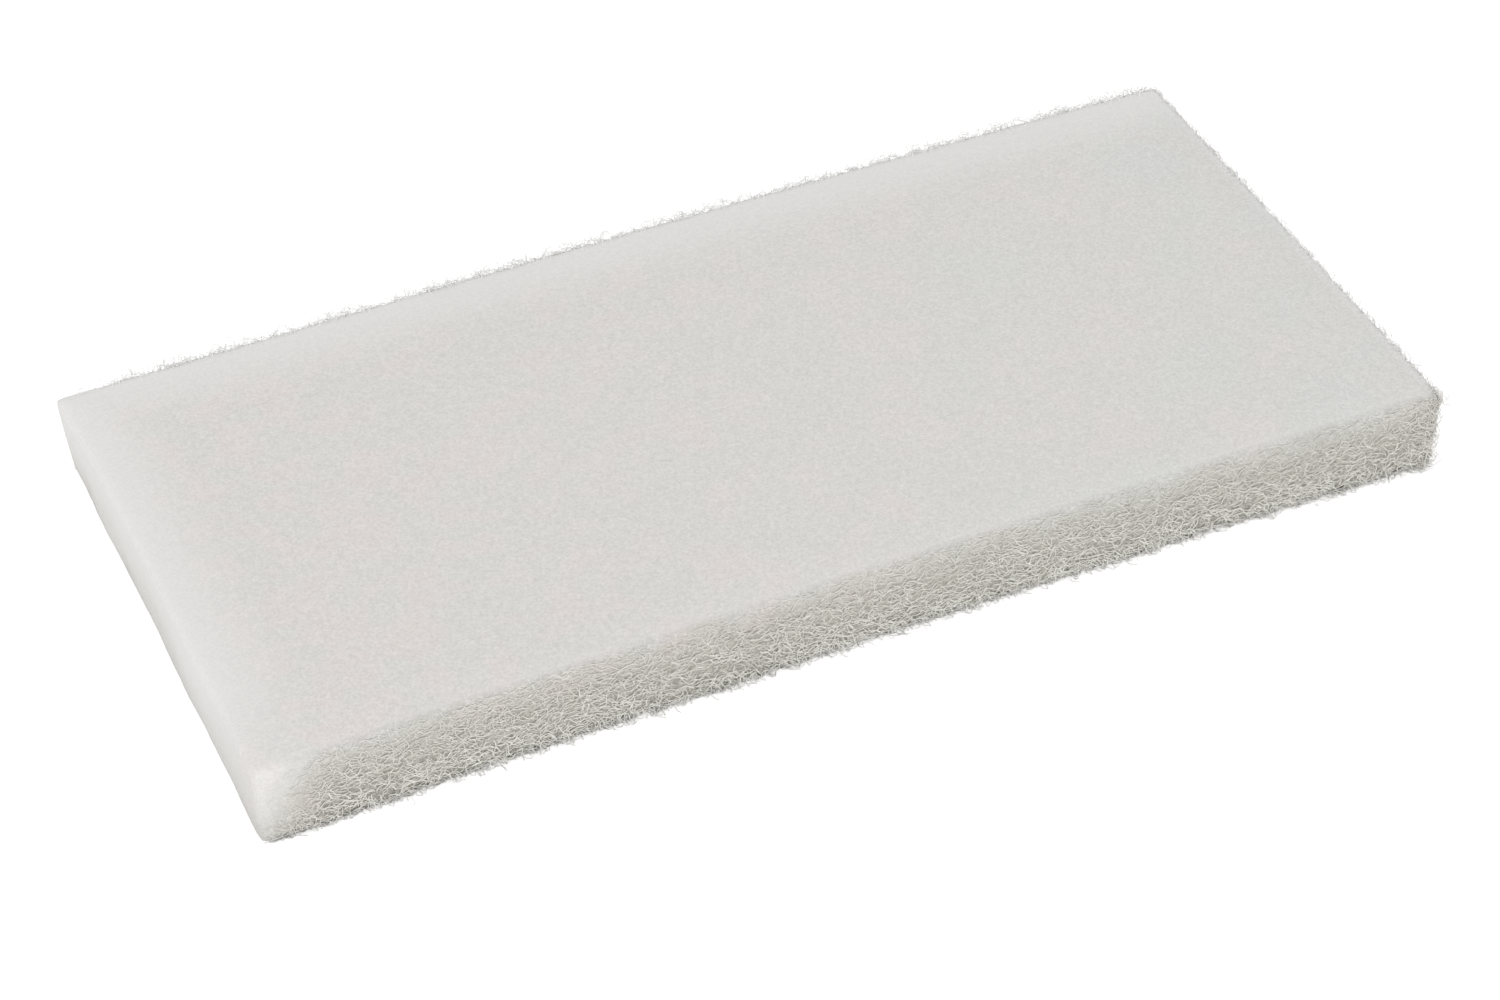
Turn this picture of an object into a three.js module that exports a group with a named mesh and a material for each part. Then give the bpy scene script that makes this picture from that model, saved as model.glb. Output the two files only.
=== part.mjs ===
// Nylon scouring pad: one rectangular slab of lofty non-woven fibre web, die-cut on all four sides.
// Millimetres, +Z up. The origin is the centre of the underside. X runs along the pad and Y across it.
import * as THREE from "three";
import { ImprovedNoise } from "three/addons/math/ImprovedNoise.js";

// Driving dimensions of the slab. The cut web stands up to a millimetre inside the length and width
const padLength = 251;
const padWidth = 120;
const padThickness = 18.5;
const cornerRadius = 2.4;

// The loose web relaxes after the cut, so both long sides bow a little towards +Y
const sideBow = 1.5;

// The die presses the upper rim down a little as it cuts, and takes the sharpness off both edges
const pressedRimWidth = 10;
const pressedRimDrop = 0.35;
const upperEdgeRadius = 1;
const lowerEdgeRadius = 0.8;
// Corner radius of the flat top face inside the rim
const faceCornerRadius = 2;

// At mid height the web springs back after the cut and leaves the wall a little hollow
const wallHollow = 0.35;

// Tufts of cut fibre on the wall, and the slow wander of the cut line behind them
const tuftRelief = 1.3;
const tuftPitch = 3.6;
const wanderRelief = 0.7;
const wanderPitch = 31;

// The end at -X is felted closer than the other walls: its tufts are low, and grow taller along the sides
const closeEndTufts = 0.3;
const closeEndReach = 16;

// Spacing of the mesh round the pad and up its wall
const stepRound = 2.4;
const stepUp = 1.8;
const lowerEdgeSteps = 2;
const upperEdgeSteps = 3;
const pressedRimSteps = 3;

const nylonWhite = 0xdedcd8;

const quarterTurn = Math.PI / 2;

// Plan at an inset from the cut line: the arcs and straight sides of a rectangle with round corners,
// in turn and counter-clockwise
function planAt(inset) {
  const radius = Math.max(cornerRadius - inset, faceCornerRadius);
  const x = padLength / 2 - inset - radius;
  const y = padWidth / 2 - inset - radius;
  const plan = new THREE.Path();
  plan.absarc(x, y, radius, 0, quarterTurn);
  plan.absarc(-x, y, radius, quarterTurn, 2 * quarterTurn);
  plan.absarc(-x, -y, radius, 2 * quarterTurn, 3 * quarterTurn);
  plan.absarc(x, -y, radius, 3 * quarterTurn, 4 * quarterTurn);
  plan.closePath();
  return plan.curves;
}

// Every ring has the same steps on each arc and side, so that rings join point to point
const planSteps = planAt(0).map((curve) => Math.ceil(curve.getLength() / stepRound));

// Points of the plan at an inset, each with the direction that faces out of the pad there
function ringAt(inset) {
  return planAt(inset).flatMap((curve, index) => {
    const steps = planSteps[index];
    return Array.from({ length: steps }, (_, step) => {
      const along = curve.getTangent(step / steps);
      return {
        place: curve.getPoint(step / steps),
        outward: new THREE.Vector2(along.y, -along.x),
      };
    });
  });
}

// How far the pressed rim lies below the flat top face. It eases out to nothing at the rim's inner line
function rimDrop(inset) {
  const share = 1 - inset / pressedRimWidth;
  return pressedRimDrop * share * share;
}

// Section through the edge, as height above the underside and inset from the cut line, from bottom to top
function edgeSection() {
  const section = [];
  for (let i = 0; i <= lowerEdgeSteps; i += 1) {
    const turn = (i / lowerEdgeSteps) * quarterTurn;
    section.push({
      height: lowerEdgeRadius * (1 - Math.cos(turn)),
      inset: lowerEdgeRadius * (1 - Math.sin(turn)),
    });
  }
  const wallHeight = padThickness - lowerEdgeRadius - upperEdgeRadius - rimDrop(0);
  const wallSteps = Math.max(2, Math.round(wallHeight / stepUp));
  for (let i = 1; i < wallSteps; i += 1) {
    const share = i / wallSteps;
    section.push({
      height: lowerEdgeRadius + share * wallHeight,
      inset: wallHollow * Math.sin(share * Math.PI),
    });
  }
  for (let i = 0; i <= upperEdgeSteps; i += 1) {
    const turn = (i / upperEdgeSteps) * quarterTurn;
    const inset = upperEdgeRadius * (1 - Math.cos(turn));
    const edgeDrop = upperEdgeRadius * (1 - Math.sin(turn));
    section.push({ height: padThickness - edgeDrop - rimDrop(inset), inset });
  }
  for (let i = 1; i <= pressedRimSteps; i += 1) {
    const share = i / pressedRimSteps;
    const inset = upperEdgeRadius + share * (pressedRimWidth - upperEdgeRadius);
    section.push({ height: padThickness - rimDrop(inset), inset });
  }
  return section;
}

// Solid noise from 0 to about 1, with bumps about one pitch apart
const noise = new ImprovedNoise();
function bumps(x, y, z, pitch) {
  return 0.5 + 0.5 * noise.noise(x / pitch, y / pitch, z / pitch);
}

// How far the web lies behind the tips of its tufts at a place
function tuftDepth(x, y, z) {
  const fromCloseEnd = x + padLength / 2;
  const growth = THREE.MathUtils.clamp(fromCloseEnd / closeEndReach, closeEndTufts, 1);
  const tufts = growth * tuftRelief * bumps(x, y, z, tuftPitch);
  const wander = wanderRelief * bumps(x, y, z, wanderPitch);
  return tufts + wander;
}

// How far the bow of the long sides moves the web towards +Y
function bowAt(x) {
  const fromMiddle = (2 * x) / padLength;
  return sideBow * (1 - fromMiddle * fromMiddle);
}

// One ring of points for each level of the section, bands between the rings, and a flat face on each end
function padGeometry() {
  const positions = [];
  const section = edgeSection();
  for (const { height, inset } of section) {
    for (const { place, outward } of ringAt(inset)) {
      const depth = tuftDepth(place.x, place.y, height);
      const x = place.x - outward.x * depth;
      const y = place.y - outward.y * depth + bowAt(x);
      positions.push(x, y, height);
    }
  }
  const underMiddle = positions.length / 3;
  positions.push(0, 0, 0);
  const topMiddle = underMiddle + 1;
  positions.push(0, 0, padThickness);

  const triangles = [];
  const count = planSteps.reduce((sum, steps) => sum + steps);
  const topRing = (section.length - 1) * count;
  for (let i = 0; i < count; i += 1) {
    const next = (i + 1) % count;
    for (let low = 0; low < topRing; low += count) {
      const high = low + count;
      triangles.push(low + i, low + next, high + next);
      triangles.push(low + i, high + next, high + i);
    }
    triangles.push(underMiddle, next, i);
    triangles.push(topMiddle, topRing + i, topRing + next);
  }

  const geometry = new THREE.BufferGeometry();
  geometry.setAttribute("position", new THREE.Float32BufferAttribute(positions, 3));
  geometry.setIndex(triangles);
  return geometry;
}

// The uneven wall is centred on the origin in plan. The underside stays at zero height
function centreInPlan(geometry) {
  geometry.computeBoundingBox();
  const middle = geometry.boundingBox.getCenter(new THREE.Vector3());
  geometry.translate(-middle.x, -middle.y, 0);
}

const padShape = padGeometry();
centreInPlan(padShape);
padShape.computeVertexNormals();

const nylonWeb = new THREE.MeshStandardMaterial({
  color: nylonWhite,
  roughness: 0.85,
  metalness: 0,
});

const pad = new THREE.Mesh(padShape, nylonWeb);
pad.name = "pad";

const scouringPad = new THREE.Group();
scouringPad.add(pad);

export default scouringPad;
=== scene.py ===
# %% [markdown]
# Nylon scouring pad
#
# A pad for wiping and scrubbing, cut from a thick sheet of non-woven nylon web. The web is made of
# long crimped fibres that are blown into a loose mat and bonded where they cross. The two faces of
# the sheet are fairly even. The cut walls show the inside of the mat: a tangle of curly fibres in
# front of grey-green gaps.
#
# The lesson builds it in five steps: the camera, the body of the web, the fibres on its cut walls,
# the finishes, and the light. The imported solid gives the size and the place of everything.

# %% Load the frame
import math

import bpy
import numpy as np
from mathutils import Matrix, Vector


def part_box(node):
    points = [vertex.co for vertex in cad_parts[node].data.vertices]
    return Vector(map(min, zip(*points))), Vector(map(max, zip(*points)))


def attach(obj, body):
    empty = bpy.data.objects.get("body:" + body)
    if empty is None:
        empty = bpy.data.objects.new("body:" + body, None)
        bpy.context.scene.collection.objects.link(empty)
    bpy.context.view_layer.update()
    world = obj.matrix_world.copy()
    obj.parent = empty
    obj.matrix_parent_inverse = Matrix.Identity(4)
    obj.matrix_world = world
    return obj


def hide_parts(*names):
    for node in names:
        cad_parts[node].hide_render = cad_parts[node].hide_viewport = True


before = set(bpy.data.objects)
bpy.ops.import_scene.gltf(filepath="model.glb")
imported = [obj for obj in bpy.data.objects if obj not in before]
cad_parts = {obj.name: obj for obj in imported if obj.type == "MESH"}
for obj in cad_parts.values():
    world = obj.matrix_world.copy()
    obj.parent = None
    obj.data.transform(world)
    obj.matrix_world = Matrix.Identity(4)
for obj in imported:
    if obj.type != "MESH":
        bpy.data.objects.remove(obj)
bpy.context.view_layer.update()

MM = 0.001
pad_low, pad_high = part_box("pad")
LENGTH, WIDTH, THICKNESS = pad_high - pad_low
print(f"The pad is {LENGTH / MM:.1f} by {WIDTH / MM:.1f} by {THICKNESS / MM:.1f} mm")

# %% [markdown]
# The camera
#
# The picture was taken with a fairly long lens from above the near left corner, and the camera was
# turned a little about its own axis. A camera can be placed by hand until it looks right. Here it is
# set by the point that it looks at, two angles, a distance and a small roll, because those are the
# things that a person behind a tripod would change.

# %% Camera
LOOK_AT = Vector((-0.0091, -0.0210, 0.010))
CAMERA_DISTANCE = 0.762
CAMERA_AZIMUTH = math.radians(23.63)
CAMERA_ELEVATION = math.radians(41.21)
CAMERA_ROLL = math.radians(-1.20)
CAMERA_LENS = 92.75

to_camera = Vector((
    -math.sin(CAMERA_AZIMUTH) * math.cos(CAMERA_ELEVATION),
    -math.cos(CAMERA_AZIMUTH) * math.cos(CAMERA_ELEVATION),
    math.sin(CAMERA_ELEVATION),
))
bpy.ops.object.camera_add(location=LOOK_AT + CAMERA_DISTANCE * to_camera)
camera = bpy.context.object
camera.name = "camera"
camera.rotation_mode = "QUATERNION"
roll = Matrix.Rotation(CAMERA_ROLL, 3, "Z").to_quaternion()
camera.rotation_quaternion = (-to_camera).to_track_quat("-Z", "Y") @ roll
camera.data.lens = CAMERA_LENS
camera.data.sensor_width = 36
camera.data.clip_end = 20
bpy.context.scene.camera = camera
print(f"The camera stands {CAMERA_DISTANCE:.3f} m away, with a lens of {CAMERA_LENS:.0f} mm")

# %% [markdown]
# Helpers for modelling
#
# An operator acts on everything that is selected. So each step first selects nothing, then picks the
# vertices or edges that it needs. Their numbers would pick them too, but those change with every
# size, and their place does not.

# %% Selecting
def select_only(piece):
    bpy.ops.object.select_all(action="DESELECT")
    piece.select_set(True)
    bpy.context.view_layer.objects.active = piece


def pick_edges(piece, wanted):
    """Selects the edges whose two ends pass the test, and leaves the piece in edit mode."""
    bpy.ops.object.mode_set(mode="EDIT")
    bpy.ops.mesh.select_mode(type="EDGE")
    bpy.ops.mesh.select_all(action="DESELECT")
    bpy.ops.object.mode_set(mode="OBJECT")
    mesh = piece.data
    for edge in mesh.edges:
        edge.select = wanted(*[mesh.vertices[i].co for i in edge.vertices])
    bpy.ops.object.mode_set(mode="EDIT")


# %% Modifiers and places
def apply_modifier(piece, kind, **settings):
    modifier = piece.modifiers.new(kind.lower(), kind)
    for key, value in settings.items():
        setattr(modifier, key, value)
    select_only(piece)
    bpy.ops.object.modifier_apply(modifier=modifier.name)


def places_of(mesh):
    places = np.empty(len(mesh.vertices) * 3, np.float32)
    mesh.vertices.foreach_get("co", places)
    return places.reshape(-1, 3).astype(float)


def set_places(mesh, places):
    mesh.vertices.foreach_set("co", places.astype(np.float32).ravel())
    mesh.update()


# %% [markdown]
# The body of the web
#
# The body is a slab. The die cuts its corners nearly square and leaves the upper edge a little
# rounder than the lower one. A box with a few bevels would do for a hard slab. Here the slab starts
# as a cube whose edges are bevelled, and then a voxel remesh lays an even skin of small squares over
# it, because the next steps push that skin about and need vertices everywhere.

# %% A slab with rounded edges
CORNER_RADIUS = 1.6 * MM
UPPER_EDGE_RADIUS = 1 * MM
LOWER_EDGE_RADIUS = 0.5 * MM
# The tufts stand out by this much from the two ends and from the long sides
END_REACH = 0.1 * MM
SIDE_REACH = 0.3 * MM
SKIN_STEP = 1.12 * MM
# Places closer than this count as the same
HAIR = 0.01 * MM
# The long sides bow by this much, and the box of the solid holds the bow
BOW = 1.5 * MM

half_length = LENGTH / 2 - END_REACH
half_width = (WIDTH - BOW) / 2 - SIDE_REACH

bpy.ops.object.select_all(action="DESELECT")
bpy.ops.mesh.primitive_cube_add(
    size=1, location=(0, 0, THICKNESS / 2), scale=(2 * half_length, 2 * half_width, THICKNESS)
)
body = bpy.context.object
body.name = "web_body"
body.data.name = "web_body"
bpy.ops.object.transform_apply(location=True, rotation=True, scale=True)

pick_edges(body, lambda a, b: abs(a.z - b.z) > THICKNESS / 2)
bpy.ops.mesh.bevel(offset=CORNER_RADIUS, segments=5, affect="EDGES")
pick_edges(body, lambda a, b: max(a.z, b.z) < HAIR)
bpy.ops.mesh.bevel(offset=LOWER_EDGE_RADIUS, segments=3, affect="EDGES")
pick_edges(body, lambda a, b: min(a.z, b.z) > THICKNESS - HAIR)
bpy.ops.mesh.bevel(offset=UPPER_EDGE_RADIUS, segments=5, affect="EDGES")
bpy.ops.object.mode_set(mode="OBJECT")
apply_modifier(body, "REMESH", mode="VOXEL", voxel_size=SKIN_STEP, adaptivity=0)
print(f"The even skin has {len(body.data.polygons)} faces")

# %% [markdown]
# The pressed rim
#
# Round the top face runs a rim about 10 mm wide that slopes down by a third of a millimetre. It is
# hardly a form, but it catches the light along the edges that face the lamp. A bevel would leave a
# crease on either side of it. So each vertex is moved down by its distance from the cut line, which
# gives a slope that eases out to nothing.

# %% Distance from the cut line, and the rim
RIM_WIDTH = 10 * MM
RIM_DROP = 0.35 * MM


def inset_of(places):
    """How far each place lies inside the rounded rectangle of the cut line."""
    centre = np.array([half_length - CORNER_RADIUS, half_width - CORNER_RADIUS])
    past = np.abs(places[:, :2]) - centre
    outside = np.linalg.norm(np.maximum(past, 0), axis=1)
    inside = np.minimum(past.max(axis=1), 0)
    return CORNER_RADIUS - outside - inside


def rim_drop(inset):
    share = np.clip(1 - inset / RIM_WIDTH, 0, 1)
    return RIM_DROP * share * share


places = places_of(body.data)
places[:, 2] -= rim_drop(inset_of(places)) * places[:, 2] / THICKNESS
set_places(body.data, places)
print(f"The rim drops by {RIM_DROP / MM:.2f} mm")

# %% [markdown]
# Tufts on the cut wall
#
# The cut wall is not smooth: the fibres stand in small tufts, and the line of the cut wanders a
# little. The left end is closer and smoother than the other three walls. A bump in the finish would
# be cheaper, but the outline of the pad would stay straight. So a Displace modifier moves the skin
# along its normals by the grey of a cloud texture. Vertex groups keep the wander and the tufts on the
# walls, and let a third cloud give the top face a much finer relief.

# %% Where the walls are rough
LEFT_FADE = 14 * MM
LEFT_SHARE = 0.12
# The relief of the walls fades out below the top face, at the foot and inside the cut line
TOP_FADE_START = 3 * MM
TOP_FADE = 2.4 * MM
FOOT_FADE = 2 * MM
INWARD_FADE = 3 * MM


def roughness_along(x):
    """How rough the wall is: less at the left end, and fully rough a little way along."""
    return np.clip((x + half_length) / LEFT_FADE, LEFT_SHARE, 1)


def wall_share(places):
    """1 on the cut walls, falling to 0 on the top face and the underside."""
    top = 1 - np.clip((places[:, 2] - (THICKNESS - TOP_FADE_START)) / TOP_FADE, 0, 1)
    foot = np.clip(0.5 + places[:, 2] / FOOT_FADE, 0, 1)
    near = np.clip(1 - inset_of(places) / INWARD_FADE, 0, 1)
    return top * foot * near


share = wall_share(places)
print(f"{np.mean(share > 0.5):.0%} of the vertices are on a cut wall")

# %% Clouds that push the skin
WANDER = 1.0 * MM
TUFTS = 1.3 * MM
FELT = 0.08 * MM
GROUP_LEVELS = 20


def vertex_group(piece, name, weights):
    group = piece.vertex_groups.new(name=name)
    for level in range(1, GROUP_LEVELS + 1):
        members = np.nonzero(np.round(weights * GROUP_LEVELS) == level)[0]
        group.add(members.tolist(), level / GROUP_LEVELS, "REPLACE")


def cloud(name, size):
    texture = bpy.data.textures.new(name, "CLOUDS")
    texture.noise_scale = size
    texture.noise_depth = 1
    return texture


wander_cloud = cloud("wander", 26 * MM)
tuft_cloud = cloud("tufts", 3.4 * MM)
vertex_group(body, "cut_wall", share)
vertex_group(body, "rough_wall", share * roughness_along(places[:, 0]))
vertex_group(body, "top_face", np.where(places[:, 2] > THICKNESS / 2, 1 - share, 0))
apply_modifier(body, "DISPLACE", texture=wander_cloud, vertex_group="cut_wall",
               strength=WANDER, mid_level=0.5)
apply_modifier(body, "DISPLACE", texture=tuft_cloud, vertex_group="rough_wall",
               strength=TUFTS, mid_level=0.5)
apply_modifier(body, "DISPLACE", texture=cloud("felt", 2.6 * MM), vertex_group="top_face",
               strength=FELT, mid_level=1)
body.vertex_groups.clear()
print(f"The tufts stand out by up to {TUFTS / 2 / MM:.2f} mm")

# %% [markdown]
# The bow and the lean
#
# The web is loose and gives a little after the cut, so the pad is no perfect rectangle. Both long
# sides bow towards the far side, and the top of the far left corner leans out. The foot stands in a
# little at the near right corner and along the middle of the near side. A lattice could bend the body
# so. One function of place is simpler, because the fibres have to follow the same bend later.

# %% Bow, lean and foot
CORNER_LEAN = 1.6 * MM
CORNER_REACH = 45 * MM
RIGHT_FOOT_IN = 1 * MM
NEAR_FOOT_IN = 0.6 * MM


def relaxed(places):
    """The places moved by the bow of the long sides, the lean of a corner and the foot."""
    moved = places.copy()
    x, y, z = np.moveaxis(places, -1, 0)
    moved[..., 1] += BOW * (0.5 - (x / half_length) ** 2)
    away = np.hypot(x + half_length, y - half_width)
    nearness = np.clip(1 - away / CORNER_REACH, 0, 1)
    lean = CORNER_LEAN * nearness ** 2 * z / THICKNESS
    moved[..., 0] -= lean
    moved[..., 1] += lean / 2
    foot = 1 - z / THICKNESS
    from_right = np.clip(1 - (half_length - x) / CORNER_REACH, 0, 1)
    from_near = np.clip(-y / half_width, 0, 1)
    moved[..., 0] -= RIGHT_FOOT_IN * foot * from_right * from_near
    moved[..., 1] += NEAR_FOOT_IN * foot * from_near * (1 - (x / half_length) ** 2)
    return moved


places = relaxed(places_of(body.data))
places[:, 2] = np.maximum(places[:, 2], 0)
set_places(body.data, places)
select_only(body)
bpy.ops.object.shade_smooth()
reach = np.abs(places_of(body.data)).max(axis=0) / MM
print(f"The body reaches {reach[0]:.1f} by {reach[1]:.1f} mm from the middle")

# %% [markdown]
# The edge, rolled out flat
#
# The fibres lie on a surface that goes up the wall and over the rounded edge, and all the way round
# the pad. Hair grown on the skin would stand up from it, and these fibres lie along it and weave in
# and out. So they are laid out on a flat strip, with one axis along the wall, one up the section and
# one out of the web, and that strip is rolled round the pad. These functions do the rolling.

# %% Section of the edge
ARC_POINTS = 12
RIM_POINTS = 8


def section_line():
    """Inset, height and distance along the section, from the underside over the wall to the top."""
    quarter = np.linspace(0, math.pi / 2, ARC_POINTS)
    foot_inset = LOWER_EDGE_RADIUS * (1 - np.sin(quarter))
    foot_height = LOWER_EDGE_RADIUS * (1 - np.cos(quarter))
    edge_inset = UPPER_EDGE_RADIUS * (1 - np.cos(quarter))
    edge_height = THICKNESS - UPPER_EDGE_RADIUS * (1 - np.sin(quarter))
    rim_inset = np.linspace(UPPER_EDGE_RADIUS, RIM_WIDTH, RIM_POINTS)[1:]
    inset = np.concatenate([foot_inset, edge_inset, rim_inset])
    height = np.concatenate([foot_height, edge_height, np.full(rim_inset.size, THICKNESS)])
    height = height - rim_drop(inset) * height / THICKNESS
    steps = np.hypot(np.diff(inset), np.diff(height))
    return inset, height, np.concatenate([[0], np.cumsum(steps)])


section_inset, section_height, section_up = section_line()
section_out = np.gradient(section_height, section_up)
section_rise = np.gradient(section_inset, section_up)
SECTION_LENGTH = section_up[-1]
without_rim = slice(2 * ARC_POINTS)
wall_top = THICKNESS - UPPER_EDGE_RADIUS
EDGE_UP = float(np.interp(wall_top, section_height[without_rim], section_up[without_rim]))
print(f"The wall runs up to {EDGE_UP / MM:.1f} mm of a strip of {SECTION_LENGTH / MM:.1f} mm")

# %% The cut line
SIDE_X = 2 * (half_length - CORNER_RADIUS)
SIDE_Y = 2 * (half_width - CORNER_RADIUS)
ARC = CORNER_RADIUS * math.pi / 2
AROUND = 2 * (SIDE_X + SIDE_Y) + 4 * ARC


def cut_line(along):
    """Place and outward direction on the cut line. It starts at the left end of the near side."""
    sides = [
        ((0, -half_width), (1, 0), SIDE_X),
        ((half_length, 0), (0, 1), SIDE_Y),
        ((0, half_width), (-1, 0), SIDE_X),
        ((-half_length, 0), (0, -1), SIDE_Y),
    ]
    place = np.empty((along.size, 2))
    facing = np.empty((along.size, 2))
    left = np.mod(along, AROUND)
    done = np.zeros(along.size, bool)
    for middle, heading, run in sides:
        heading = np.array(heading, float)
        outward = np.array([heading[1], -heading[0]])
        here = ~done & (left < run)
        place[here] = middle + np.outer(left[here] - run / 2, heading)
        facing[here] = outward
        done |= here
        left = np.where(done, left, left - run)
        here = ~done & (left < ARC)
        turn = left[here] / CORNER_RADIUS
        out = np.outer(np.cos(turn), outward) + np.outer(np.sin(turn), heading)
        centre = np.array(middle) + heading * run / 2 - outward * CORNER_RADIUS
        place[here] = centre + CORNER_RADIUS * out
        facing[here] = out
        done |= here
        left = np.where(done, left, left - ARC)
    return place, facing


print(f"The cut line is {AROUND / MM:.0f} mm long")

# %% Rolling a flat strip round the pad
def grey_at(texture, points):
    return np.array([texture.evaluate(point)[3] for point in points.tolist()]) - 0.5


def relief_at(points):
    """How far the wander and the tufts have moved the skin of the body at each point."""
    wander = WANDER * grey_at(wander_cloud, points)
    tufts = TUFTS * grey_at(tuft_cloud, points) * roughness_along(points[:, 0])
    return (wander + tufts) * wall_share(points)


def roll_on(along, up, out):
    """The place on the pad of points of the flat strip, and the direction out of the web there."""
    shape = along.shape
    along, up, out = along.ravel(), up.ravel(), out.ravel()
    place, facing = cut_line(along)
    inset = np.interp(up, section_up, section_inset)
    height = np.interp(up, section_up, section_height)
    level = np.interp(up, section_up, section_out)
    rise = np.interp(up, section_up, section_rise)
    skin = np.column_stack([place - facing * inset[:, None], height])
    normals = np.column_stack([facing * level[:, None], rise])
    normals /= np.linalg.norm(normals, axis=1)[:, None]
    points = skin + normals * (out + relief_at(skin))[:, None]
    return relaxed(points).reshape(*shape, 3), normals.reshape(*shape, 3)


# %% [markdown]
# One fibre, modelled once
#
# A fibre is a thin rod. A curve with a round bevel would bend by itself, but thousands of them would be
# heavy. Three sides are enough, because a fibre is only as wide as a pixel. The rod is a cylinder of
# one metre with three sides, and its long edges are subdivided so that it can bend. Every fibre of the
# web is a copy of this rod: its length is laid along a curly path of its own.

# %% The straight rod
FIBRE_STEPS = 8


def straight_rod(steps):
    bpy.ops.object.select_all(action="DESELECT")
    bpy.ops.mesh.primitive_cylinder_add(vertices=3, radius=1, depth=1, location=(0, 0, 0.5))
    rod = bpy.context.object
    bpy.ops.object.transform_apply(location=True, rotation=True, scale=True)
    pick_edges(rod, lambda a, b: abs(a.z - b.z) > 0.5)
    bpy.ops.mesh.subdivide(number_cuts=steps - 1)
    bpy.ops.object.mode_set(mode="OBJECT")
    places = places_of(rod.data)
    faces = [tuple(face.vertices) for face in rod.data.polygons]
    bpy.data.objects.remove(rod)
    return places, faces


rod_places, rod_faces = straight_rod(FIBRE_STEPS)
rod_station = np.round(rod_places[:, 2] * FIBRE_STEPS).astype(int)
print(f"One fibre has {len(rod_places)} vertices and {len(rod_faces)} faces")

# %% [markdown]
# Curly paths
#
# A crimped fibre swings from side to side as it runs, and it also dips into the web and comes out
# again. A plain wave or a helix would look like a spring. So its heading is a start angle plus two
# waves, a short one for the crimp and a long one for the loop that it lies in, and both differ from
# fibre to fibre. Adding up small steps along that heading gives the path.

# %% Paths on the flat strip
CRIMP_WAVES = (3.2 * MM, 5.5 * MM)
LOOP_WAVES = (8 * MM, 15 * MM)
DIP_WAVES = (3.5 * MM, 7 * MM)


def curly_paths(chance, count, step, spread, crimp, across):
    """Paths from the middle outwards, as offsets along, up and out of the strip."""
    at = np.arange(FIBRE_STEPS + 1) * step
    level = chance.normal(0, spread, (count, 1))
    crossing = chance.random((count, 1)) < across
    heading = np.where(crossing, chance.uniform(-math.pi / 2, math.pi / 2, (count, 1)), level)
    for size, waves in ((crimp, CRIMP_WAVES), (0.6 * crimp, LOOP_WAVES)):
        wave = chance.uniform(*waves, (count, 1))
        phase = chance.uniform(0, 2 * math.pi, (count, 1))
        heading = heading + size * np.sin(2 * math.pi * at / wave + phase)
    along = np.cumsum(np.cos(heading), axis=1) * step
    up = np.cumsum(np.sin(heading), axis=1) * step
    dip_wave = chance.uniform(*DIP_WAVES, (count, 1))
    dip_phase = chance.uniform(0, 2 * math.pi, (count, 1))
    dip = np.sin(2 * math.pi * at / dip_wave + dip_phase)
    middle = FIBRE_STEPS // 2
    return along - along[:, [middle]], up - up[:, [middle]], dip


# %% A cell of the picture for each fibre
def picture_cells(mesh, count):
    """Gives every fibre one small cell of the picture that its colour may be baked into."""
    cells = math.ceil(math.sqrt(count))
    flat = []
    for face in rod_faces:
        for x, y, z in rod_places[list(face)]:
            turn = math.atan2(y, x) / (2 * math.pi) % 1
            flat.append((0.1 + 0.8 * z, 0.15 + 0.7 * turn))
    column, row = np.arange(count) % cells, np.arange(count) // cells
    corner = np.column_stack([column, row]).astype(float)
    spots = (corner[:, None, :] + np.array(flat)[None]) / cells
    layer = mesh.uv_layers.new(name="OFBake")
    layer.data.foreach_set("uv", spots.astype(np.float32).ravel())


# %% Bending the rod along many paths
def unit(vectors):
    return vectors / np.maximum(np.linalg.norm(vectors, axis=-1, keepdims=True), 1e-9)


def lay_fibres(name, paths, normals, radius, tone):
    """One mesh of rods, each bent along its path. Normals say which way is out of the web."""
    count = len(paths)
    paths[..., 2] = np.maximum(paths[..., 2], radius + HAIR)
    run = unit(np.gradient(paths, axis=1))
    out = unit(normals - run * (normals * run).sum(-1, keepdims=True))
    across = np.cross(run, out)
    round_x, round_y = rod_places[:, 0], rod_places[:, 1]
    # One flat side of the rod faces out of the web
    vertices = paths[:, rod_station] + radius * (
        across[:, rod_station] * round_x[:, None] - out[:, rod_station] * round_y[:, None]
    )
    faces = [
        tuple(i + k * len(rod_places) for i in face) for k in range(count) for face in rod_faces
    ]
    mesh = bpy.data.meshes.new(name)
    mesh.from_pydata(vertices.reshape(-1, 3).tolist(), [], faces)
    shade = mesh.attributes.new("tone", "FLOAT", "POINT")
    shade.data.foreach_set("value", tone[:, rod_station].astype(np.float32).ravel())
    picture_cells(mesh, count)
    piece = bpy.data.objects.new(name, mesh)
    bpy.context.scene.collection.objects.link(piece)
    select_only(piece)
    bpy.ops.object.mode_set(mode="EDIT")
    bpy.ops.mesh.select_all(action="SELECT")
    bpy.ops.mesh.normals_make_consistent(inside=False)
    bpy.ops.object.mode_set(mode="OBJECT")
    triangles = sum(len(face) - 2 for face in rod_faces) * count
    print(f"{name}: {count} fibres, {triangles} triangles")
    return piece


# %% [markdown]
# Fibres on the cut walls
#
# Where the die went through, the fibres are coarse enough to throw shadows and to break the outline,
# so the front ones are real rods and only those behind them are drawn in the finish. Each rough wall
# gets its own piece, and the smooth left end gets none. The fibres run mostly along the wall, because
# the mat is laid down in thin layers, and some cross them. They start in different depths, so that some
# pass behind others and the gaps between them look into the web, which is painted darker as shade.
# Where a fibre lies deep its tone is lower, as painted shade of the web over it.

# %% Fewer fibres at the smooth end
# The border of the smooth end leans: it moves to the right by this share of the height
BORDER_LEAN = 0.45
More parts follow.
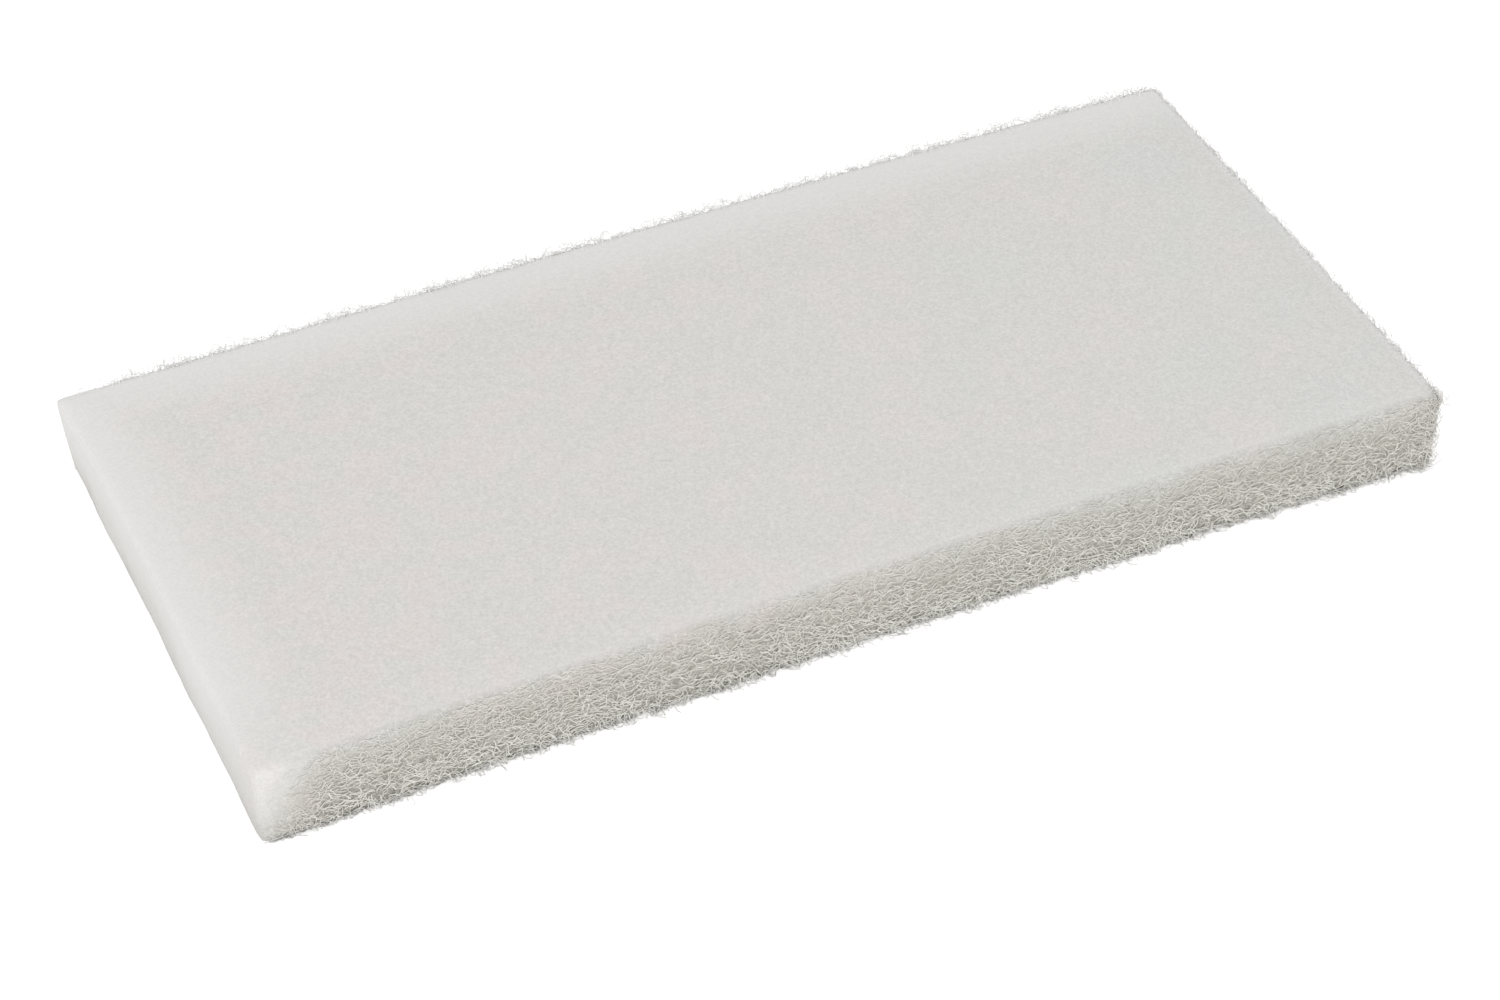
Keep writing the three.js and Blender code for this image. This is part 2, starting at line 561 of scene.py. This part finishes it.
# The fibres grow from none to all over this run, which starts a little outside the left end
BORDER_START = 2 * MM
BORDER_RUN = 11 * MM


def thinned(chance, along, up):
    """Which fibres are kept: fewer towards the smooth left end, fewest at the top of the wall."""
    from_left = cut_line(along[:, 0])[0][:, 0] + half_length - BORDER_LEAN * up[:, 0]
    return chance.random(len(along)) < np.clip((from_left + BORDER_START) / BORDER_RUN, 0, 1)


# %% Wall fibres
FIBRE_RADIUS = 0.09 * MM
FIBRE_STEP = 0.72 * MM
FIBRE_SEED = 20
FIBRE_LEVELS = (0.2 * MM, EDGE_UP + 0.6 * MM)
FIBRE_DEPTHS = (-0.2 * MM, 0.3 * MM)
FIBRE_DIP = 0.25 * MM
# Over this height below the upper edge the fibres go from loose to pressed
PRESSED_RUN = 6 * MM


def wall_fibres(name, start, run, count, seed):
    chance = np.random.default_rng(seed)
    along, up, dip = curly_paths(chance, count, FIBRE_STEP, spread=0.34, crimp=0.55, across=0.16)
    along = along + start + chance.uniform(0, run, (count, 1))
    up = up + chance.uniform(*FIBRE_LEVELS, (count, 1))
    up = np.clip(up, 0, SECTION_LENGTH)
    kept = thinned(chance, along, up)
    along, up, dip = along[kept], up[kept], dip[kept]
    count = len(along)
    out = chance.uniform(*FIBRE_DEPTHS, (count, 1)) + FIBRE_DIP * dip
    # Towards the top face the fibres are pressed flat into the web
    pressed = np.clip((up - (EDGE_UP - PRESSED_RUN)) / PRESSED_RUN, 0, 1)
    rough = roughness_along(cut_line(along.ravel())[0][:, 0]).reshape(out.shape)
    sunk = 0.1 * MM * (1 - (1 - pressed) * rough)
    under = 0.3 * MM * np.clip((up - EDGE_UP) / MM, 0, 1)
    out = out * (1 - 0.6 * pressed) * rough - sunk - under
    paths, normals = roll_on(along, up, out)
    # A deep fibre gets a lower tone: painted shade of the web over it
    tone = 0.6 + 0.4 * np.clip(out / (0.4 * MM), -1, 1) + chance.normal(0, 0.12, (count, 1))
    return lay_fibres(name, paths, normals, FIBRE_RADIUS, np.clip(tone, 0, 1))


# %% The three rough walls
LONG_WALL_FIBRES = 3900
END_WALL_FIBRES = 1900
wall_starts = {
    "near_wall_fibres": (0, SIDE_X + ARC, LONG_WALL_FIBRES),
    "right_wall_fibres": (SIDE_X + ARC, SIDE_Y + ARC, END_WALL_FIBRES),
    "far_wall_fibres": (SIDE_X + SIDE_Y + 2 * ARC, SIDE_X + ARC, LONG_WALL_FIBRES),
}
fibre_pieces = []
for number, (name, (start, run, count)) in enumerate(wall_starts.items()):
    fibre_pieces.append(wall_fibres(name, start, run, count, FIBRE_SEED + number))

# %% [markdown]
# Stray fibres
#
# The die leaves loose fibres all round. Most are arches that leave the web and go back into it, and
# some are cut ends that stand out. A pale fringe of them runs along the upper edge of the far and
# the right side, where the outline of the pad turns lacy. Others stand at the foot, on the walls and
# on the near right corner. A strip with holes in it could pass for a fringe from the front alone,
# and single rods look right from every side. They are thinner than the rest, because each is one
# fibre and not a bonded pair.

# %% Arches and cut ends
STRAY_RADIUS = 0.065 * MM
STRAY_STEP = 0.6 * MM
LONGEST_REACH = 2 * MM
ROOT_DEPTH = 0.15 * MM
CUT_ENDS = 0.3


def stray_fibres(name, count, start, run, lowest, highest, seed, length=0.27 * MM):
    """Loose fibres between two levels of the strip, along a part of the cut line."""
    chance = np.random.default_rng(seed)
    along, up, _ = curly_paths(chance, count, STRAY_STEP, spread=0.55, crimp=1.1, across=0.35)
    along = along + start + chance.uniform(0, run, (count, 1))
    up = up + chance.uniform(lowest, highest, (count, 1))
    kept = thinned(chance, along, up)
    along, up = along[kept], up[kept]
    count = len(along)
    # Most reach a little way out of the web, and a few reach far
    reach = np.minimum(chance.gamma(2.6, length, (count, 1)), LONGEST_REACH)
    share = np.linspace(0, 1, FIBRE_STEPS + 1)
    cut = chance.random((count, 1)) < CUT_ENDS
    # A cut end keeps rising, and an arch comes back to the web
    out = reach * np.where(cut, 1.5 * share ** 1.5, np.sin(math.pi * share)) - ROOT_DEPTH
    rough = roughness_along(cut_line(along.ravel())[0][:, 0]).reshape(out.shape)
    paths, normals = roll_on(along, np.clip(up, 0, SECTION_LENGTH), out * rough)
    tone = np.clip(chance.normal(0.9, 0.12, (count, 1)), 0, 1)
    return lay_fibres(name, paths, normals, STRAY_RADIUS, np.broadcast_to(tone, out.shape))


# %% Fringes and other strays
RIGHT_START = SIDE_X + ARC / 2
FAR_START = SIDE_X + SIDE_Y + 1.5 * ARC
ROUGH_RUN = AROUND - SIDE_Y - ARC
fringe_pieces = [
    stray_fibres("far_fringe", 1300, FAR_START, SIDE_X + ARC, EDGE_UP - 1.5 * MM,
                 EDGE_UP + 0.9 * MM, FIBRE_SEED + 10, length=0.5 * MM),
    stray_fibres("right_fringe", 560, RIGHT_START, SIDE_Y + ARC, EDGE_UP - 2 * MM,
                 EDGE_UP + 0.6 * MM, FIBRE_SEED + 13),
]
fibre_pieces += [
    stray_fibres("foot_strays", 2200, 0, ROUGH_RUN, 0, 2 * MM, FIBRE_SEED + 11,
                 length=0.4 * MM),
    stray_fibres("wall_strays", 1300, 0, ROUGH_RUN, 2 * MM, EDGE_UP - 1 * MM, FIBRE_SEED + 12),
    stray_fibres("corner_strays", 260, SIDE_X - 2 * MM, ARC + 5 * MM, 0, EDGE_UP,
                 FIBRE_SEED + 14, length=0.4 * MM),
]

# %% [markdown]
# Shader maths
#
# A finish is worked out by adding, multiplying and comparing patterns. Every one of those takes a node,
# and a long chain of nodes is hard to read. This small class wraps a socket, so that the maths can be
# written as plain expressions.

# %% A socket that can be calculated with
class Wire:
    def __init__(self, finish, socket):
        self.finish = finish
        self.socket = socket

    def maths(self, operation, *values):
        settings = {"operation": operation}
        return self.finish.node("ShaderNodeMath", settings, dict(enumerate(values)))

    def __add__(self, other):
        return self.maths("ADD", self, other)

    def __sub__(self, other):
        return self.maths("SUBTRACT", self, other)

    def __rsub__(self, other):
        return self.maths("SUBTRACT", other, self)

    def __mul__(self, other):
        return self.maths("MULTIPLY", self, other)

    __radd__ = __add__
    __rmul__ = __mul__

    def __abs__(self):
        return self.maths("ABSOLUTE", self)

    def or_more(self, other):
        return self.maths("MAXIMUM", self, other)

    def or_less(self, other):
        return self.maths("MINIMUM", self, other)

    def between(self, low, high):
        """0 at low, 1 at high, with soft ends."""
        settings = {"interpolation_type": "SMOOTHSTEP"}
        return self.finish.node(
            "ShaderNodeMapRange", settings, {"Value": self, "From Min": low, "From Max": high}
        )


# %% A finish and its nodes
class Finish:
    """A material whose nodes are made by one method."""

    def __init__(self, name):
        self.material = bpy.data.materials.new(name)
        self.material.use_nodes = True
        self.tree = self.material.node_tree
        self.tree.nodes.clear()

    def node(self, kind, settings=None, inputs=None, output=0):
        made = self.tree.nodes.new(kind)
        for key, value in (settings or {}).items():
            setattr(made, key, value)
        for key, value in (inputs or {}).items():
            if isinstance(value, Wire):
                self.tree.links.new(value.socket, made.inputs[key])
            else:
                made.inputs[key].default_value = value
        return Wire(self, made.outputs[output])

    def place(self):
        return self.node("ShaderNodeTexCoord", output="Object")

    def axis(self, place, number):
        return self.node("ShaderNodeSeparateXYZ", None, {0: place}, output=number)

    def noise(self, place, size, detail=2.0, distortion=0.0):
        inputs = {"Vector": place, "Scale": 1 / size, "Detail": detail, "Distortion": distortion}
        return self.node("ShaderNodeTexNoise", None, inputs)

    def shift(self, place, by):
        return self.node("ShaderNodeVectorMath", {"operation": "ADD"}, {0: place, 1: by})

    def scaled(self, colour, by):
        return self.node("ShaderNodeVectorMath", {"operation": "SCALE"}, {0: colour, "Scale": by})

    def blend(self, share, first, second):
        settings = {"data_type": "RGBA", "clamp_factor": True}
        return self.node("ShaderNodeMix", settings, {0: share, 6: first, 7: second}, output=2)

    def end(self, shader):
        end = self.tree.nodes.new("ShaderNodeOutputMaterial")
        self.tree.links.new(shader.socket, end.inputs["Surface"])
        return self.material


# %% [markdown]
# Patterns of place
#
# The finishes share a few patterns that say where a place is: how far inside the cut line, how close
# to the far and left edges that get a painted highlight, and whether it is on the thin upper edges that
# get painted light for the light coming through the web.
# They could be painted by hand, but worked out from the size of the pad they always fit it.

# %% Distance from the sides
def straight_y(finish, place):
    """Y with the bow of the long sides taken out."""
    x = finish.axis(place, 0)
    return finish.axis(place, 1) - BOW * (0.5 - x * x * (1 / half_length ** 2))


def inset_share(finish, place, low, high):
    x, y = finish.axis(place, 0), straight_y(finish, place)
    inset = (half_length - abs(x)).or_less(half_width - abs(y))
    return inset.between(low, high)


# %% Painted highlights on the rims and thin edges
RIM_HIGHLIGHT_WIDTH = 20 * MM


def rim_highlight_share(finish, place):
    """Painted highlight: 1 along the far and the left edge, falling to 0 inside them and lower at the
    near corner.
    """
    from_left = finish.axis(place, 0) + half_length
    y = straight_y(finish, place)
    share = 1 - from_left.or_less(half_width - y).between(-1 * MM, RIM_HIGHLIGHT_WIDTH)
    return share * (0.45 + 0.55 * (y + half_width).between(0, 25 * MM))


def away_from_near(finish, place):
    """0 at the near wall, 1 a few millimetres behind it."""
    return (straight_y(finish, place) + half_width).between(1 * MM, 6 * MM)


def edge_light_share(finish, place):
    """Painted light: 1 at the upper edge of the far and the right side, for the light coming through the
    web.
    """
    edge = 1 - inset_share(finish, place, -0.5 * MM, 3 * MM)
    from_left = (finish.axis(place, 0) + half_length).between(3 * MM, 20 * MM)
    upper = finish.axis(place, 2).between(12 * MM, 16 * MM)
    return edge * away_from_near(finish, place) * from_left * upper


# %% [markdown]
# Where the web is open
#
# Three more patterns tell the open wall from the close face. One says where the rough cut is, and
# leaves out the smooth left end. One says how much painted shade the open web gets: the wall turns
# darker at the edge of the top face and then more slowly down to its middle, along an uneven line. One
# says how much fibre and the painted shade of the gaps differ, which grows towards the foot. A hard
# border would be simpler, but on the real web the one passes into the other.

# %% Cut, open and contrast
OPEN_BELOW = 9 * MM
FACE_CONTRAST = 0.28


def cut_share(finish, place):
    """1 on the rough cut walls, 0 on the faces and at the smooth left end."""
    wander = (finish.noise(place, 12 * MM, detail=1.0) - 0.5) * (6 * MM)
    along = finish.axis(place, 0) - finish.axis(place, 2) * BORDER_LEAN + wander
    rough = along.between(-half_length - 8 * MM, 14 * MM - half_length)
    # Towards the right end the cut is a little closer again
    rough = rough * (1 - 0.35 * along.between(half_length - 12 * MM, half_length))
    return rough * (1 - inset_share(finish, place, 0.4 * MM, 2.2 * MM))


def open_shade_share(finish, place):
    """How far the colour goes from that of the face towards the painted shade of the open web."""
    wander = (finish.noise(place, 12 * MM, detail=1.0) - 0.5) * (5 * MM)
    ragged = (finish.noise(place, 1.4 * MM, detail=1.0) - 0.5) * (4 * MM)
    # Away from the near edge the painted shade starts lower, so the other upper edges keep the colour of
    # the face
    unshaded_lift = away_from_near(finish, place) * (2.5 * MM)
    height = finish.axis(place, 2) + wander + ragged + unshaded_lift
    edge = 1 - height.between(THICKNESS - 1.6 * MM, THICKNESS + 0.4 * MM)
    depth = 1 - height.between(OPEN_BELOW, THICKNESS)
    return edge * 0.4 + depth * 0.6


def contrast(finish, place):
    """How much fibre and the painted shade of the gaps differ: fully at the foot, a little at the top.
    """
    height = finish.axis(place, 2) * (1 / THICKNESS)
    return 1 - height * (1 - FACE_CONTRAST)


# %% [markdown]
# The colour of the web
#
# On the faces the web is nearly even. It is faintly mottled: pinker towards the left end and greener
# towards the right, and a painted highlight makes it whiter along the far and the left rim. On the
# walls painted shade makes the web darker, as the eye looks into its depth, and more painted shade
# makes it darker still just above the table. One flat colour would leave all of that to the lamps,
# and look like plastic.

# %% Web colour
FACE_WHITE = (0.696, 0.679, 0.659, 1)
FACE_WARM = (0.729, 0.674, 0.654, 1)
FACE_GREEN = (0.672, 0.677, 0.658, 1)
# Painted highlight along the far and the left rim
RIM_PAINTED_HIGHLIGHT = (0.765, 0.758, 0.742, 1)
# Painted light on the upper edge of the far and the right side
EDGE_PAINTED_LIGHT = (0.87, 0.867, 0.855, 1)
# Painted shade of the open web on the cut walls
WALL_PAINTED_SHADE = (0.608, 0.586, 0.527, 1)
# Painted shade on the walls just above the table
TABLE_SHADE = 0.05


def grain(finish, place, strength):
    """Faint specks and strokes, around 1."""
    specks = finish.noise(place, 0.55 * MM, detail=2.0) - 0.5
    blots = finish.noise(place, 1.3 * MM, detail=1.0) - 0.5
    return 1 + (specks * 0.38 + blots * 0.1) * strength


def face_colour(finish, place):
    x = finish.axis(place, 0)
    mottle = finish.noise(place, 8 * MM, detail=1.0).between(0.4, 0.68)
    drift = finish.noise(finish.shift(place, (0.4, 0, 0)), 22 * MM, detail=2.0).between(0.42, 0.62)
    face = finish.blend(mottle * (0.5 - 3 * x), FACE_WHITE, FACE_WARM)
    face = finish.blend(drift * (0.5 + 3 * x), face, FACE_GREEN)
    # A painted highlight along the far and left rim, and painted light on the thin upper edges
    rim = rim_highlight_share(finish, place)
    face = finish.blend(rim, face, RIM_PAINTED_HIGHLIGHT)
    face = finish.blend(edge_light_share(finish, place), face, EDGE_PAINTED_LIGHT)
    return finish.scaled(face, grain(finish, place, 1 - 0.6 * rim))


def web_colour(finish, place, cut):
    """Mean colour of the web, painted shade and light included, before fibres and gaps are told apart.
    """
    colour = finish.blend(cut * open_shade_share(finish, place), face_colour(finish, place), WALL_PAINTED_SHADE)
    wall = 1 - inset_share(finish, place, 0.3 * MM, 1.5 * MM)
    # Painted shade at the foot of the walls
    foot = 1 - finish.axis(place, 2).between(0, 9 * MM)
    return finish.scaled(colour, 1 - wall * foot * TABLE_SHADE)


# %% [markdown]
# The finish of the body
#
# Behind the modelled fibres lie many more. Modelling them all would take millions of faces, so these
# are drawn. The lines where a smooth noise passes through its middle value are thin, curved and closed,
# much like curled fibres. A few layers of such lines, each from another slice of the noise, make a felt.
# On the walls the lines are fibres and the rest is gap, painted darker as the shade inside the web.

# %% Curled lines
def curls(finish, place, size, width, layers):
    lines = None
    for layer in range(layers):
        slice_place = finish.shift(place, (0.013 * layer, 0.029 * layer, 0.17 * (layer + 1)))
        field = finish.noise(slice_place, size, detail=0.0, distortion=0.8)
        line = 1 - abs(field - 0.5).between(0, width)
        lines = line if lines is None else lines.or_more(line)
    return lines


# %% Web finish
GAP_SHADE = 0.66
LINE_LIGHT = 0.6
CURL_SIZE = 1.05 * MM
CURL_WIDTH = 0.05
CURL_LAYERS = 4


def web_finish():
    finish = Finish("web")
    place = finish.place()
    cut = cut_share(finish, place)
    lines = curls(finish, place, CURL_SIZE, CURL_WIDTH, CURL_LAYERS)
    # Painted shade in the gaps between the drawn fibres
    painted_gap_shade = cut * contrast(finish, place) * (GAP_SHADE - LINE_LIGHT * lines)
    # The painted light of the thin edges takes the painted shade of the gaps away
    painted_gap_shade = painted_gap_shade * (1 - edge_light_share(finish, place))
    colour = finish.scaled(web_colour(finish, place, cut), 1 - painted_gap_shade)
    relief = lines * (0.12 + 0.88 * cut) + finish.noise(place, 0.8 * MM, detail=2.0) * 0.25
    bump = finish.node("ShaderNodeBump", None,
                       {"Strength": 0.35, "Distance": 0.18 * MM, "Height": relief})
    shader = finish.node("ShaderNodeBsdfPrincipled", None,
                         {"Base Color": colour, "Roughness": 0.85, "Normal": bump})
    return finish.end(shader)


web = web_finish()
body.data.materials.clear()
body.data.materials.append(web)
print(f"The finish of the web has {len(web.node_tree.nodes)} nodes")

# %% [markdown]
# The finishes of the single fibres
#
# Nylon fibre is milky and slightly glossy. One white for all of them would make the wall chalky. So a
# fibre of the wall starts from the colour of the web around it, painted shade included, and goes whiter
# by the tone that was stored with it, and a noise varies that along the fibre. Where the wall has little
# contrast its fibres sink into it, and at the foot they get painted shade. The loose fibres of the
# fringe are painted paler than the web, a painted light for the light that reaches them from all sides.

# %% Fibre finishes
FIBRE_SHADE = 0.12
FIBRE_LIGHT = 1.2
# Painted shade of the fibres at the foot
FOOT_SHADE = 0.3
FIBRE_WHITE = (0.87, 0.855, 0.81, 1)
# The fringe is painted paler than the web: painted light for the light reaching it from all sides
FRINGE_PAINTED_LIGHT = (0.86, 0.857, 0.845, 1)
FRINGE_SHADE = (0.74, 0.735, 0.715, 1)


def fibre_shader(finish, colour):
    return finish.node("ShaderNodeBsdfPrincipled", None, {"Base Color": colour, "Roughness": 0.6})


def fibre_finish():
    finish = Finish("fibre")
    place = finish.place()
    cut = cut_share(finish, place)
    tone = finish.node("ShaderNodeAttribute", {"attribute_name": "tone"}, output="Fac")
    light = tone + 0.35 * (finish.noise(place, 2.4 * MM, detail=1.0) - 0.5)
    change = cut * contrast(finish, place)
    colour = finish.scaled(web_colour(finish, place, cut), 1 - change * FIBRE_SHADE)
    colour = finish.blend(change * light * FIBRE_LIGHT, colour, FIBRE_WHITE)
    # Painted shade at the foot
    foot = 1 - finish.axis(place, 2).between(0, 2.2 * MM)
    colour = finish.scaled(colour, 1 - foot * FOOT_SHADE)
    return finish.end(fibre_shader(finish, colour))


def fringe_finish():
    finish = Finish("fringe")
    tone = finish.node("ShaderNodeAttribute", {"attribute_name": "tone"}, output="Fac")
    return finish.end(fibre_shader(finish, finish.blend(tone, FRINGE_SHADE, FRINGE_PAINTED_LIGHT)))


for material, pieces in ((fibre_finish(), fibre_pieces), (fringe_finish(), fringe_pieces)):
    for piece in pieces:
        piece.data.materials.append(material)
    print(f"{len(pieces)} pieces have the finish {material.name}")

# %% [markdown]
# Floor and light
#
# The pad lies on white paper in soft light. More light would turn the paper white, and the pad with
# it. So the floor is a large plane that glows only for the camera, and still takes the soft shadow of
# the pad. A pale sky lights everything evenly. A large lamp low on the far left gives the rim and the
# left end their light edge, and another low in front lights the fibres of the near wall.

# %% Stage
PAPER_GLOW = 0.5
PAPER_WHITE = (0.8, 0.8, 0.8, 1)
FLOOR_SIZE = 12

bpy.ops.object.select_all(action="DESELECT")
bpy.ops.mesh.primitive_plane_add(size=FLOOR_SIZE, location=(0, 0, 0))
floor = bpy.context.object
floor.name = "floor"
bpy.ops.object.transform_apply(location=True, rotation=True, scale=True)


def floor_finish():
    finish = Finish("white_paper")
    seen = finish.node("ShaderNodeLightPath", output="Is Camera Ray")
    for ray in ("Is Glossy Ray", "Is Transmission Ray"):
        seen = seen.or_more(finish.node("ShaderNodeLightPath", output=ray))
    paper = finish.node("ShaderNodeBsdfDiffuse", None, {"Color": PAPER_WHITE})
    glow = finish.node("ShaderNodeEmission", None,
                       {"Color": (1, 1, 1, 1), "Strength": seen * PAPER_GLOW})
    return finish.end(finish.node("ShaderNodeAddShader", None, {0: paper, 1: glow}))


floor.data.materials.append(floor_finish())
print(f"The floor is {FLOOR_SIZE} m wide")

# %% Light
SKY_LIGHT = 0.85
LAMP_SIZE = 1.0

world = bpy.data.worlds.new("studio")
bpy.context.scene.world = world
world.use_nodes = True
sky = world.node_tree
sky.nodes.clear()
background = sky.nodes.new("ShaderNodeBackground")
background.inputs["Color"].default_value = (1, 1, 1, 1)
background.inputs["Strength"].default_value = SKY_LIGHT
sky_end = sky.nodes.new("ShaderNodeOutputWorld")
sky.links.new(background.outputs[0], sky_end.inputs["Surface"])


def lamp(name, place, energy):
    bpy.ops.object.light_add(type="AREA", location=place)
    made = bpy.context.object
    made.name = name
    made.data.shape = "SQUARE"
    made.data.size = LAMP_SIZE
    made.data.energy = energy
    made.rotation_euler = (-Vector(place)).to_track_quat("-Z", "Y").to_euler()
    print(f"{name}: {energy} W, {Vector(place).length:.2f} m away")


lamp("edge_lamp", (-1.35, 0.55, 0.65), 3.3)
lamp("front_lamp", (-0.35, -1.7, 0.42), 11)
bpy.context.scene.view_settings.view_transform = "Standard"

# %% [markdown]
# Handing the pieces over
#
# The real pad is one piece of web, and so is the imported solid. Every piece made here stands for that
# solid and rides on its body, and the solid itself is hidden. The web counts as padded, since it gives
# under the hand, and the floor is only there for the picture.

# %% Ride and replace
for piece in [body, *fibre_pieces, *fringe_pieces]:
    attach(piece, "root")
    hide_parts("pad")
